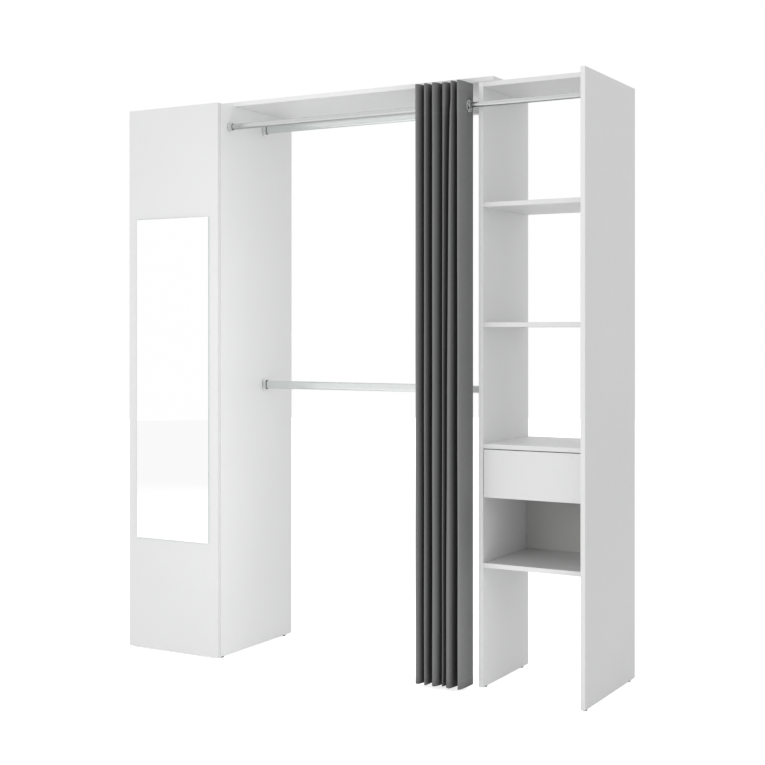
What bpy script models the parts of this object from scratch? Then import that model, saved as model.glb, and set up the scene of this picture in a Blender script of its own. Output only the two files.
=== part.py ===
"""Open-front wardrobe: a mirror cabinet, a shelf column and the span of rods and curtain between them.

Design frame, in metres: X runs right from the cabinet's outer left face, Y runs back from the front
edges of the full-depth uprights, and Z runs up from the undersides of the uprights. SHIFT moves
everything so that the world origin lies at the bottom centre of the whole wardrobe.
"""
import bmesh
import bpy
import math
from mathutils import Matrix, Vector

# Driving sizes of the whole wardrobe
UPRIGHT_HEIGHT = 2.030
UPRIGHT_DEPTH = 0.470
BOARD = 0.016
CABINET_WIDTH = 0.4157
CENTRE_BAY = 1.0017
COLUMN_WIDTH = 0.415
COLUMN_SETBACK = 0.092
SLAB_OVERHANG = 0.0556
SLAB_FRONT = 0.090
SLAB_BACK = 0.468

# Clearances and small sizes that many pieces share
SEAT = 0.0003
EDGE_BEVEL = 0.0005
OVERRUN = 0.010
SMOOTH_ANGLE = math.radians(40)

# Horizontal boards: their top faces as shares of the uprights' height
COLUMN_SHELF_SHARES = (0.8012, 0.6030, 0.4026)
COLUMN_BOTTOM_SHARE = 0.2060
CABINET_SHELF_SHARES = (0.8012, 0.4026)
SHELF_BACK_INSET = 0.0187
CABINET_BOARD_FRONT_INSET = 0.002
CABINET_SHELF_SETBACK = 0.020

# Mirror door
DOOR_THICKNESS = 0.016
DOOR_GAP = 0.0013
MIRROR_THICKNESS = 0.004
MIRROR_WIDTH = 0.336
MIRROR_HEIGHT = 1.200

# Thin back board of the cabinet, held in grooves
BACK_BOARD = 0.003
BACK_BOARD_INSET = 0.014
GROOVE_DEPTH = 0.006

# Drawer
DRAWER_FRONT_HEIGHT = 0.1608
DRAWER_TOP_GAP = 0.0028
DRAWER_SIDE_GAP = 0.0022
DRAWER_SIDE_BOARD = 0.012
DRAWER_SIDE_HEIGHT = 0.120
DRAWER_SIDE_LIFT = 0.012
DRAWER_LENGTH = 0.345
DRAWER_BOTTOM_BOARD = 0.003
DRAWER_BOTTOM_LIFT = 0.010
DRAWER_GROOVE_DEPTH = 0.004
RUNNER_HEIGHT = 0.013
RUNNER_GRIP = 0.006
RUNNER_LENGTH = 0.300
RUNNER_SETBACK = 0.030
RUNNER_LIFT = 0.055
RUNNER_PLAY = 0.0007
RUNNER_SIDE_PLAY = 0.001

# Nail-in glides
GLIDE_RADIUS = 0.0075
GLIDE_FOOT_RADIUS = 0.0060
GLIDE_HEIGHT = 0.005
GLIDE_BACK_INSET = 0.045
GLIDE_FRONT_INSET = 0.019
GLIDE_COLUMN_INSET = 0.034
GLIDE_SIDES = 16

# Hanging rods: a flat-sided oval tube that slides over a smaller one
HANG_ROD_Y = 0.280
UPPER_ROD_DROP = 0.063
LOWER_ROD_SHARE = 0.4877
OVAL_HEIGHT = 0.030
OVAL_WIDTH = 0.015
OVAL_WALL = 0.0014
OVAL_OUTER_LENGTH = 0.696
OVAL_INNER_LENGTH = 0.420
OVAL_SIDES = 16
OVAL_FLANGE_HEIGHT = 0.046
OVAL_FLANGE_WIDTH = 0.030
OVAL_FLANGE_THICKNESS = 0.003
OVAL_COLLAR_WALL = 0.003
OVAL_COLLAR_DEPTH = 0.014

# Curtain rod: a round tube that slides over a smaller one, in front of the column's left side
CURTAIN_ROD_Y = 0.055
CURTAIN_ROD_DROP = 0.081
ROUND_RADIUS = 0.011
ROUND_WALL = 0.001
ROUND_OUTER_LENGTH = 0.990
ROUND_INNER_LAP = 0.300
ROUND_SIDES = 20
CUP_WALL = 0.0022
CUP_DEPTH = 0.018
CUP_FLANGE_LIP = 0.0025
CUP_FLANGE_THICKNESS = 0.002

# Curtain: panels square to the rod, joined by half-round bends
PANELS = 12
PANEL_PITCH = 0.0156
FIRST_PANEL_X = 1.2282
FOLD_FRONT = -0.010
FOLD_BACK = 0.0875
HEM_END = 0.0840
CLOTH = 0.0012
CURTAIN_BOTTOM = 0.0095
CURTAIN_TOP_GAP = 0.008
BEND_STEPS = 5
FOLD_SPREAD = 0.0016
FOLD_SWELL = 0.0030
CLOTH_ROW_SHARES = (0.0, 0.30, 0.68, 0.94, 1.0)
FOLD_WANDER = 2.4

# Eyelets: a spool clenched round the cloth
EYELET_BORE = 0.014
EYELET_TUBE = 0.001
EYELET_FLANGE = 0.0222
EYELET_LEAF = 0.0012
EYELET_SIDES = 14
EYELET_SEAT = 0.0007

# Cup hinges, all in one plan shape: arm pin, bent link and cup pin
HINGE_END_INSET = 0.120
ARM_PIN_X = 0.041
ARM_PIN_Y = 0.0095
CUP_PIN_X = 0.012
CUP_PIN_Y = -0.0040
LINK_BEND_X = 0.0245
LINK_BEND_Y = -0.0021
LINK_THICKNESS = 0.0020
LINK_HEIGHT = 0.010
LINK_BOSS = 0.0024
HINGE_PIN = 0.0010
HINGE_PIN_PLAY = 0.0003
HINGE_SIDES = 12
CUP_CENTRE_X = 0.0225
CUP_RADIUS = 0.0175
CUP_WALL_THICKNESS = 0.0010
CUP_SINK = 0.0112
CUP_SIDES = 20
WING_LEFT = 0.0250
WING_RIGHT = 0.0390
WING_HALF_HEIGHT = 0.030
WING_THICKNESS = 0.0008
ARM_BACK = 0.078
ARM_WEB_FRONT = 0.0160
ARM_WEB_X = 0.0452
ARM_SHEET = 0.0012
ARM_NOSE = 0.0040
ARM_SIDE_PLAY = 0.0006
PLATE_THICKNESS = 0.0030
PLATE_FRONT = 0.030
PLATE_BACK = 0.074
PLATE_HALF_HEIGHT = 0.024
PLATE_MARGIN = 0.0012
PLATE_WING_FRONT = 0.042
PLATE_WING_BACK = 0.062

# Places that follow from the sizes above
COLUMN_LEFT = CABINET_WIDTH + CENTRE_BAY
COLUMN_RIGHT = COLUMN_LEFT + COLUMN_WIDTH
INNER_LEFT = BOARD
INNER_RIGHT = CABINET_WIDTH - BOARD
BAY_LEFT = COLUMN_LEFT + BOARD
BAY_RIGHT = COLUMN_RIGHT - BOARD
DOOR_BACK = -DOOR_GAP
DOOR_FRONT = DOOR_BACK - DOOR_THICKNESS
MIRROR_BACK = DOOR_FRONT - SEAT
MIRROR_FRONT = MIRROR_BACK - MIRROR_THICKNESS
MIRROR_BOTTOM = (UPRIGHT_HEIGHT - MIRROR_HEIGHT) / 2
COLUMN_SHELF_TOPS = tuple(UPRIGHT_HEIGHT * share for share in COLUMN_SHELF_SHARES)
CABINET_SHELF_TOPS = tuple(UPRIGHT_HEIGHT * share for share in CABINET_SHELF_SHARES)
COLUMN_BOTTOM_TOP = UPRIGHT_HEIGHT * COLUMN_BOTTOM_SHARE
DRAWER_FRONT_TOP = COLUMN_SHELF_TOPS[-1] - BOARD - DRAWER_TOP_GAP
DRAWER_FRONT_BOTTOM = DRAWER_FRONT_TOP - DRAWER_FRONT_HEIGHT
HANG_ROD_HEIGHTS = (UPRIGHT_HEIGHT - UPPER_ROD_DROP, UPRIGHT_HEIGHT * LOWER_ROD_SHARE)
CURTAIN_ROD_Z = UPRIGHT_HEIGHT - CURTAIN_ROD_DROP
CURTAIN_TOP = UPRIGHT_HEIGHT - CURTAIN_TOP_GAP
HINGE_HEIGHTS = (HINGE_END_INSET, UPRIGHT_HEIGHT / 2, UPRIGHT_HEIGHT - HINGE_END_INSET)
SHELF_BACK = UPRIGHT_DEPTH - SHELF_BACK_INSET
NICHE_BACK_FRONT = SHELF_BACK + SEAT
EYELET_Z = CURTAIN_ROD_Z + ROUND_RADIUS + EYELET_SEAT - EYELET_BORE
INNER_ROUND_RADIUS = ROUND_RADIUS - ROUND_WALL - SEAT
SHIFT = Vector((-COLUMN_RIGHT / 2, -(MIRROR_FRONT + UPRIGHT_DEPTH) / 2, GLIDE_HEIGHT))

# Colours, roughness and metallic value of each finish
FINISHES = {
    "white_board": ((0.83, 0.83, 0.83), 0.45, 0.0),
    "mirror": ((0.95, 0.95, 0.95), 0.02, 1.0),
    "chrome": ((0.78, 0.80, 0.79), 0.15, 1.0),
    "zinc": ((0.62, 0.62, 0.63), 0.30, 1.0),
    "white_plastic": ((0.86, 0.86, 0.85), 0.35, 0.0),
    "dark_plastic": ((0.035, 0.035, 0.035), 0.50, 0.0),
    "grey_cloth": ((0.14, 0.14, 0.14), 0.90, 0.0),
}


def clear_scene():
    """Remove whatever the file opened with."""
    for obj in list(bpy.data.objects):
        bpy.data.objects.remove(obj)


def finish(name, slot):
    """One Principled material for one piece, with its finish's values."""
    colour, roughness, metallic = FINISHES[slot]
    material = bpy.data.materials.new(name + "_finish")
    material.use_nodes = True
    shader = material.node_tree.nodes["Principled BSDF"]
    shader.inputs["Base Color"].default_value = (*colour, 1)
    shader.inputs["Roughness"].default_value = roughness
    shader.inputs["Metallic"].default_value = metallic
    material.diffuse_color = (*colour, 1)
    return material


def place(name, shape, slot, origin=(0, 0, 0)):
    """Make a node of a bmesh drawn in the design frame, with its object's origin at a given point."""
    bmesh.ops.recalc_face_normals(shape, faces=shape.faces)
    mesh = bpy.data.meshes.new(name)
    bmesh.ops.translate(shape, vec=-Vector(origin), verts=shape.verts)
    shape.to_mesh(mesh)
    shape.free()
    obj = bpy.data.objects.new(name, mesh)
    obj.location = Vector(origin) + SHIFT
    bpy.context.scene.collection.objects.link(obj)
    if slot:
        mesh.materials.append(finish(name, slot))
    return obj


def smooth(obj):
    """Shade a round piece smooth, and keep its corners sharp."""
    obj.data.shade_smooth()
    obj.data.set_sharp_from_angle(angle=SMOOTH_ANGLE)
    return obj


def cut(obj, shape, origin=(0, 0, 0)):
    """Take a cutter's solids, drawn in the design frame, out of an object."""
    cutter = place(obj.name + "_cutter", shape, None, origin)
    cutter.hide_render = True
    cutter.display_type = "WIRE"
    modifier = obj.modifiers.new("cut", "BOOLEAN")
    modifier.operation = "DIFFERENCE"
    modifier.solver = "EXACT"
    modifier.object = cutter


def add_box(shape, low, high):
    """Add a box between two corners to a bmesh."""
    middle = (Vector(low) + Vector(high)) / 2
    size = Vector(high) - Vector(low)
    matrix = Matrix.Translation(middle) @ Matrix.Diagonal((*size, 1))
    bmesh.ops.create_cube(shape, size=1, matrix=matrix)


def add_skin(shape, loops, closed=False):
    """Join rings of equal count with quads; cap the ends, or close the last ring on the first."""
    rings = [[shape.verts.new(point) for point in loop] for loop in loops]
    pairs = list(zip(rings, rings[1:]))
    if closed:
        pairs.append((rings[-1], rings[0]))
    else:
        shape.faces.new(rings[0])
        shape.faces.new(rings[-1])
    for first, second in pairs:
        for i in range(len(first)):
            j = (i + 1) % len(first)
            shape.faces.new((first[i], first[j], second[j], second[i]))


def circle(axis, centre, radius, sides):
    """Points round a circle whose axis is X, Y or Z."""
    points = []
    for i in range(sides):
        turn = math.tau * (i + 0.5) / sides
        first, second = radius * math.cos(turn), radius * math.sin(turn)
        offset = {"X": (0, first, second), "Y": (first, 0, second), "Z": (first, second, 0)}[axis]
        points.append(Vector(centre) + Vector(offset))
    return points


def oval(x, y, z, width, height, sides):
    """Points round a flat-sided oval in the YZ plane: two half circles and the upright runs between."""
    radius = width / 2
    run = height / 2 - radius
    points = []
    for half, lift in ((0, run), (math.pi, -run)):
        for i in range(sides // 2 + 1):
            turn = half + math.pi * i / (sides // 2)
            points.append(Vector((x, y + radius * math.cos(turn), z + lift + radius * math.sin(turn))))
    return points


def add_turned(shape, axis, centre, profile, sides, closed=False):
    """Add a turned solid: the profile holds pairs of distance along the axis and radius."""
    step = {"X": Vector((1, 0, 0)), "Y": Vector((0, 1, 0)), "Z": Vector((0, 0, 1))}[axis]
    loops = [circle(axis, Vector(centre) + step * along, radius, sides) for along, radius in profile]
    add_skin(shape, loops, closed)


def board(name, low, high, origin=(0, 0, 0), slot="white_board"):
    """A board between two corners, with its edges very slightly broken."""
    shape = bmesh.new()
    add_box(shape, low, high)
    obj = place(name, shape, slot, origin)
    modifier = obj.modifiers.new("broken_edges", "BEVEL")
    modifier.width = EDGE_BEVEL
    modifier.segments = 1
    return obj


def join(obj, shape, origin=(0, 0, 0)):
    """Add a helper's solids, drawn in the design frame, to an object as one body."""
    helper = place(obj.name + "_helper", shape, None, origin)
    helper.hide_render = True
    helper.display_type = "WIRE"
    modifier = obj.modifiers.new("join", "BOOLEAN")
    modifier.operation = "UNION"
    modifier.solver = "EXACT"
    modifier.object = helper


def stand_on_glides(obj, x, inner_y, origin=(0, 0, 0)):
    """Nail-in glides under both ends of an upright: a shallow cone with a flat foot."""
    shape = bmesh.new()
    profile = ((-GLIDE_HEIGHT, GLIDE_FOOT_RADIUS), (-GLIDE_HEIGHT / 2, GLIDE_RADIUS), (OVERRUN, GLIDE_RADIUS))
    for y in inner_y:
        add_turned(shape, "Z", (x, y, 0), profile, GLIDE_SIDES)
    join(obj, shape, origin)


def cabinet():
    """The left cabinet: two sides, top, bottom and shelves between them, and a thin back in grooves."""
    back_front = UPRIGHT_DEPTH - BACK_BOARD_INSET
    left = board("cabinet_left_side", (0, 0, 0), (BOARD, UPRIGHT_DEPTH, UPRIGHT_HEIGHT))
    right = board("cabinet_right_side", (INNER_RIGHT, 0, 0), (CABINET_WIDTH, UPRIGHT_DEPTH, UPRIGHT_HEIGHT))
    for side, face, inward in ((left, INNER_LEFT, 1), (right, INNER_RIGHT, -1)):
        groove = bmesh.new()
        ends = sorted((face - inward * (GROOVE_DEPTH + SEAT), face + inward * OVERRUN))
        add_box(groove, (ends[0], back_front - SEAT, -OVERRUN),
                (ends[1], back_front + BACK_BOARD + SEAT, UPRIGHT_HEIGHT + OVERRUN))
        cut(side, groove)
        spots = (GLIDE_FRONT_INSET, UPRIGHT_DEPTH - GLIDE_BACK_INSET)
        stand_on_glides(side, face - inward * BOARD / 2, spots)
    low_x, high_x = INNER_LEFT + SEAT, INNER_RIGHT - SEAT
    back = back_front - SEAT
    fixed = (("cabinet_top", UPRIGHT_HEIGHT), ("cabinet_bottom", BOARD))
    for name, top in fixed:
        board(name, (low_x, CABINET_BOARD_FRONT_INSET, top - BOARD), (high_x, back, top))
    for number, top in enumerate(CABINET_SHELF_TOPS, 1):
        board(f"cabinet_shelf_{number}", (low_x, CABINET_SHELF_SETBACK, top - BOARD), (high_x, back, top))
    board("cabinet_back", (INNER_LEFT - GROOVE_DEPTH, back_front, 0),
          (INNER_RIGHT + GROOVE_DEPTH, back_front + BACK_BOARD, UPRIGHT_HEIGHT))


def slab():
    """The board that lies on the cabinet and the column and spans the bay between them."""
    board("top_slab", (0, SLAB_FRONT, UPRIGHT_HEIGHT + SEAT),
          (COLUMN_LEFT + SLAB_OVERHANG, SLAB_BACK, UPRIGHT_HEIGHT + SEAT + BOARD))


def door():
    """The mirror door, with a bore for each hinge cup in its back."""
    origin = (CUP_PIN_X, CUP_PIN_Y, 0)
    panel = board("door_panel", (0, DOOR_FRONT, 0), (CABINET_WIDTH, DOOR_BACK, UPRIGHT_HEIGHT), origin)
    bores = bmesh.new()
    for z in HINGE_HEIGHTS:
        profile = ((-CUP_SINK - SEAT, CUP_RADIUS + SEAT), (OVERRUN, CUP_RADIUS + SEAT))
        add_turned(bores, "Y", (CUP_CENTRE_X, DOOR_BACK, z), profile, CUP_SIDES)
    cut(panel, bores, origin)
    side = (CABINET_WIDTH - MIRROR_WIDTH) / 2
    board("mirror", (side, MIRROR_FRONT, MIRROR_BOTTOM),
          (side + MIRROR_WIDTH, MIRROR_BACK, MIRROR_BOTTOM + MIRROR_HEIGHT), origin, "mirror")


def add_slice(shape, outline, low_z, high_z):
    """Extrude an outline in X and Y from one height to another."""
    add_skin(shape, [[Vector((x, y, z)) for x, y in outline] for z in (low_z, high_z)])


def hinge_cup(name, z):
    """A steel cup sunk in the door, with its wings and the pin across its mouth."""
    origin = (CUP_PIN_X, CUP_PIN_Y, z)
    rim = SEAT + WING_THICKNESS / 2
    inner = CUP_RADIUS - CUP_WALL_THICKNESS
    chord = math.sqrt(inner ** 2 - (CUP_CENTRE_X - CUP_PIN_X) ** 2) + CUP_WALL_THICKNESS / 2
    centre = (CUP_CENTRE_X, DOOR_BACK, z)
    dish, wings, hollow, pin = bmesh.new(), bmesh.new(), bmesh.new(), bmesh.new()
    add_turned(dish, "Y", centre, ((-CUP_SINK, CUP_RADIUS), (rim, CUP_RADIUS)), CUP_SIDES)
    add_box(wings, (WING_LEFT, DOOR_BACK + SEAT, z - WING_HALF_HEIGHT),
            (WING_RIGHT, DOOR_BACK + SEAT + WING_THICKNESS, z + WING_HALF_HEIGHT))
    add_turned(hollow, "Y", centre, ((CUP_WALL_THICKNESS - CUP_SINK, inner), (OVERRUN, inner)), CUP_SIDES)
    add_turned(pin, "Z", origin, ((-chord, HINGE_PIN), (chord, HINGE_PIN)), HINGE_SIDES)
    cup = smooth(place(name, dish, "zinc", origin))
    join(cup, wings, origin)
    cut(cup, hollow, origin)
    join(cup, pin, origin)


def link_outline():
    """Plan of a bent link: a boss round each pin, joined by a strip with one bend."""
    arm_pin, bend, cup_pin = (Vector(point) for point in
                              ((ARM_PIN_X, ARM_PIN_Y), (LINK_BEND_X, LINK_BEND_Y), (CUP_PIN_X, CUP_PIN_Y)))
    half = LINK_THICKNESS / 2
    spread = math.asin(half / LINK_BOSS)
    first = (bend - arm_pin).normalized()
    second = (cup_pin - bend).normalized()
    miter = Vector((first.y + second.y, -first.x - second.x)).normalized()
    miter *= half / math.cos(first.angle(second) / 2)

    def boss(centre, towards):
        start = math.atan2(towards.y, towards.x)
        turn = math.tau - 2 * spread
        angles = [start + spread + turn * i / HINGE_SIDES for i in range(HINGE_SIDES + 1)]
        return [(centre.x + LINK_BOSS * math.cos(a), centre.y + LINK_BOSS * math.sin(a)) for a in angles]

    return boss(arm_pin, first) + [tuple(bend + miter)] + boss(cup_pin, -second) + [tuple(bend - miter)]


def hinge_link(name, z):
    """A bent link that carries the door's cup on the arm."""
    origin = (ARM_PIN_X, ARM_PIN_Y, z)
    reach = LINK_HEIGHT / 2 + OVERRUN
    strip, holes = bmesh.new(), bmesh.new()
    add_slice(strip, link_outline(), z - LINK_HEIGHT / 2, z + LINK_HEIGHT / 2)
    bore = ((-reach, HINGE_PIN + HINGE_PIN_PLAY), (reach, HINGE_PIN + HINGE_PIN_PLAY))
    add_turned(holes, "Z", origin, bore, HINGE_SIDES)
    add_turned(holes, "Z", (CUP_PIN_X, CUP_PIN_Y, z), bore, HINGE_SIDES)
    cut(smooth(place(name, strip, "zinc", origin)), holes, origin)


def hinge_arm(name, z):
    """A channel-shaped arm on its mounting plate, with the pin that the link turns on."""
    plate_low = BOARD + SEAT
    plate_top = plate_low + PLATE_THICKNESS
    inner = LINK_HEIGHT / 2 + ARM_SIDE_PLAY
    outer = inner + ARM_SHEET
    web_out = ARM_WEB_X + ARM_SHEET
    turns = [math.pi + math.pi * i / HINGE_SIDES for i in range(HINGE_SIDES + 1)]
    nose = [(ARM_PIN_X + ARM_NOSE * math.cos(a), ARM_PIN_Y + ARM_NOSE * math.sin(a)) for a in turns]
    foot = plate_low + PLATE_THICKNESS / 2
    cheek = nose + [(web_out, ARM_WEB_FRONT), (web_out, ARM_BACK), (foot, PLATE_BACK - OVERRUN / 2),
                    (foot, PLATE_FRONT + OVERRUN / 2)]
    block, slot, pin, plate = bmesh.new(), bmesh.new(), bmesh.new(), bmesh.new()
    add_slice(block, cheek, z - outer, z + outer)
    add_box(slot, (BOARD - OVERRUN, -OVERRUN, z - inner), (ARM_WEB_X, ARM_BACK + OVERRUN, z + inner))
    pin_reach = outer + HINGE_PIN / 2
    pin_profile = ((-pin_reach, HINGE_PIN), (pin_reach, HINGE_PIN))
    add_turned(pin, "Z", (ARM_PIN_X, ARM_PIN_Y, z), pin_profile, HINGE_SIDES)
    block_half = outer + PLATE_MARGIN
    cross = [(PLATE_FRONT, -block_half), (PLATE_WING_FRONT, -block_half),
             (PLATE_WING_FRONT, -PLATE_HALF_HEIGHT), (PLATE_WING_BACK, -PLATE_HALF_HEIGHT),
             (PLATE_WING_BACK, -block_half), (PLATE_BACK, -block_half)]
    cross += [(y, -up) for y, up in reversed(cross)]
    add_skin(plate, [[Vector((x, y, z + up)) for y, up in cross] for x in (plate_low, plate_top)])
    arm = place(name, block, "zinc")
    cut(arm, slot)
    join(arm, pin)
    join(arm, plate)


def hinges():
    """One cup, link and arm at each hinge height."""
    for number, z in enumerate(HINGE_HEIGHTS, 1):
        hinge_cup(f"hinge_cup_{number}", z)
        hinge_link(f"hinge_link_{number}", z)
        hinge_arm(f"hinge_arm_{number}", z)


def column():
    """The shelf column: sides of unlike depth, five boards between them, and a back for the niche."""
    origin = (COLUMN_LEFT, COLUMN_SETBACK, 0)
    left = board("column_left_side", (COLUMN_LEFT, COLUMN_SETBACK, 0),
                 (BAY_LEFT, UPRIGHT_DEPTH, UPRIGHT_HEIGHT), origin)
    right = board("column_right_side", (BAY_RIGHT, 0, 0),
                  (COLUMN_RIGHT, UPRIGHT_DEPTH, UPRIGHT_HEIGHT), origin)
    back_spot = UPRIGHT_DEPTH - GLIDE_BACK_INSET
    stand_on_glides(left, COLUMN_LEFT + BOARD / 2, (COLUMN_SETBACK + GLIDE_COLUMN_INSET, back_spot), origin)
    stand_on_glides(right, COLUMN_RIGHT - BOARD / 2, (GLIDE_FRONT_INSET, back_spot), origin)
    low_x, high_x = BAY_LEFT + SEAT, BAY_RIGHT - SEAT
    rows = [("column_top", UPRIGHT_HEIGHT), ("column_bottom_shelf", COLUMN_BOTTOM_TOP)]
    rows += [(f"column_shelf_{i}", top) for i, top in enumerate(COLUMN_SHELF_TOPS, 1)]
    for name, top in rows:
        board(name, (low_x, COLUMN_SETBACK, top - BOARD), (high_x, SHELF_BACK, top), origin)
    board("niche_back", (low_x, NICHE_BACK_FRONT, COLUMN_BOTTOM_TOP - BOARD),
          (high_x, NICHE_BACK_FRONT + BOARD, COLUMN_SHELF_TOPS[-1]), origin)


def runners():
    """The two rails on the column's sides that fill the grooves of the drawer's sides."""
    low_z = DRAWER_FRONT_BOTTOM + RUNNER_LIFT
    front = COLUMN_SETBACK + RUNNER_SETBACK
    reach = DRAWER_SIDE_GAP + RUNNER_GRIP
    spans = (("drawer_runner_left", BAY_LEFT + SEAT, BAY_LEFT + reach),
             ("drawer_runner_right", BAY_RIGHT - reach, BAY_RIGHT - SEAT))
    for name, low_x, high_x in spans:
        board(name, (low_x, front, low_z), (high_x, front + RUNNER_LENGTH, low_z + RUNNER_HEIGHT),
              (COLUMN_LEFT, COLUMN_SETBACK, 0), "white_plastic")


def drawer():
    """The drawer: a front that is gripped under its edge, grooved sides, a back and a thin bottom."""
    origin = (BAY_LEFT, COLUMN_SETBACK, DRAWER_FRONT_BOTTOM)
    left, right = BAY_LEFT + DRAWER_SIDE_GAP, BAY_RIGHT - DRAWER_SIDE_GAP
    front_back = COLUMN_SETBACK + BOARD
    end = COLUMN_SETBACK + DRAWER_LENGTH
    low_z = DRAWER_FRONT_BOTTOM + DRAWER_SIDE_LIFT
    high_z = low_z + DRAWER_SIDE_HEIGHT
    sheet_z = low_z + DRAWER_BOTTOM_LIFT
    groove_low, groove_high = sheet_z - SEAT, sheet_z + DRAWER_BOTTOM_BOARD + SEAT
    inner_left, inner_right = left + DRAWER_SIDE_BOARD, right - DRAWER_SIDE_BOARD
    groove_left, groove_right = inner_left - DRAWER_GROOVE_DEPTH, inner_right + DRAWER_GROOVE_DEPTH
    front_groove = front_back - DRAWER_GROOVE_DEPTH
    face = board("drawer_front", (left, COLUMN_SETBACK, DRAWER_FRONT_BOTTOM),
                 (right, front_back, DRAWER_FRONT_TOP), origin)
    slot = bmesh.new()
    add_box(slot, (groove_left - SEAT, front_groove - SEAT, groove_low),
            (groove_right + SEAT, front_back + OVERRUN, groove_high))
    cut(face, slot, origin)
    rail_low = DRAWER_FRONT_BOTTOM + RUNNER_LIFT - RUNNER_PLAY
    rail_high = DRAWER_FRONT_BOTTOM + RUNNER_LIFT + RUNNER_HEIGHT + SEAT
    rail_front = COLUMN_SETBACK + RUNNER_SETBACK - SEAT
    rail_depth = RUNNER_GRIP + RUNNER_SIDE_PLAY
    sides = (("drawer_left_side", left, inner_left, (left - OVERRUN, left + rail_depth),
              (groove_left - SEAT, inner_left + OVERRUN)),
             ("drawer_right_side", inner_right, right, (right - rail_depth, right + OVERRUN),
              (inner_right - OVERRUN, groove_right + SEAT)))
    for name, low_x, high_x, rail_x, sheet_x in sides:
        side = board(name, (low_x, front_back + SEAT, low_z), (high_x, end, high_z), origin)
        grooves = bmesh.new()
        add_box(grooves, (rail_x[0], rail_front, rail_low), (rail_x[1], end + OVERRUN, rail_high))
        add_box(grooves, (sheet_x[0], front_back - OVERRUN, groove_low),
                (sheet_x[1], end + OVERRUN, groove_high))
        cut(side, grooves, origin)
    board("drawer_back", (inner_left + SEAT, end - DRAWER_SIDE_BOARD, groove_high),
          (inner_right - SEAT, end, high_z), origin)
    board("drawer_bottom", (groove_left, front_groove, sheet_z),
          (groove_right, end, sheet_z + DRAWER_BOTTOM_BOARD), origin)


def oval_socket(name, wall, towards, z, height, width, origin=(0, 0, 0)):
    """An oval socket on a wall: a flange, a collar, and a pocket a little wider than its tube."""
    base = wall + towards * SEAT
    flange = base + towards * OVAL_FLANGE_THICKNESS
    mouth = base + towards * OVAL_COLLAR_DEPTH
    pocket = (width + 2 * SEAT, height + 2 * SEAT)
    collar = (pocket[0] + 2 * OVAL_COLLAR_WALL, pocket[1] + 2 * OVAL_COLLAR_WALL)
    plate = (OVAL_FLANGE_WIDTH, OVAL_FLANGE_HEIGHT)
    steps = ((base, plate), (flange, plate), (flange, collar), (mouth, collar), (mouth, pocket),
             (flange, pocket))
    shape = bmesh.new()
    add_skin(shape, [oval(x, HANG_ROD_Y, z, *size, OVAL_SIDES) for x, size in steps])
    smooth(place(name, shape, "chrome", origin))


def oval_tube(name, start, end, z, height, width, origin=(0, 0, 0)):
    """A flat-sided oval tube between two places along X."""
    hollow = (width - 2 * OVAL_WALL, height - 2 * OVAL_WALL)
    rings = ((start, (width, height)), (end, (width, height)), (end, hollow), (start, hollow))
    shape = bmesh.new()
    add_skin(shape, [oval(x, HANG_ROD_Y, z, *size, OVAL_SIDES) for x, size in rings], closed=True)
    smooth(place(name, shape, "chrome", origin))


def hanging_rods():
    """Two telescopic oval rods between the cabinet and the column, with a socket at each end."""
    origin = (COLUMN_LEFT, COLUMN_SETBACK, 0)
    slack = 2 * (OVAL_WALL + SEAT)
    inner = (OVAL_HEIGHT - slack, OVAL_WIDTH - slack)
    floor = OVAL_FLANGE_THICKNESS + 2 * SEAT
    for label, z in zip(("upper", "lower"), HANG_ROD_HEIGHTS):
        oval_socket(f"{label}_rod_left_socket", CABINET_WIDTH, 1, z, OVAL_HEIGHT, OVAL_WIDTH)
        oval_socket(f"{label}_rod_right_socket", COLUMN_LEFT, -1, z, *inner, origin)
        oval_tube(f"{label}_rod_outer", CABINET_WIDTH + floor, CABINET_WIDTH + OVAL_OUTER_LENGTH, z,
                  OVAL_HEIGHT, OVAL_WIDTH)
        oval_tube(f"{label}_rod_inner", COLUMN_LEFT - OVAL_INNER_LENGTH, COLUMN_LEFT - floor, z,
                  *inner, origin)


def cup_socket(name, wall, towards, radius, origin=(0, 0, 0)):
    """A round socket on a wall, with a narrow lip, for a tube of a given radius."""
    pocket = radius + SEAT
    collar = pocket + CUP_WALL
    lip = collar + CUP_FLANGE_LIP
    profile = ((SEAT, lip), (SEAT + CUP_FLANGE_THICKNESS, lip), (SEAT + CUP_FLANGE_THICKNESS, collar),
               (CUP_DEPTH, collar), (CUP_DEPTH, pocket), (SEAT + CUP_FLANGE_THICKNESS, pocket))
    shape = bmesh.new()
    steps = [(towards * along, size) for along, size in profile]
    add_turned(shape, "X", (wall, CURTAIN_ROD_Y, CURTAIN_ROD_Z), steps, ROUND_SIDES)
    smooth(place(name, shape, "chrome", origin))


def round_tube(name, start, end, radius, origin=(0, 0, 0)):
    """A round tube of the curtain rod between two places along X."""
    bore = radius - ROUND_WALL
    length = end - start
    shape = bmesh.new()
    profile = ((0, radius), (length, radius), (length, bore), (0, bore))
    add_turned(shape, "X", (start, CURTAIN_ROD_Y, CURTAIN_ROD_Z), profile, ROUND_SIDES, closed=True)
    smooth(place(name, shape, "chrome", origin))


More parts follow.
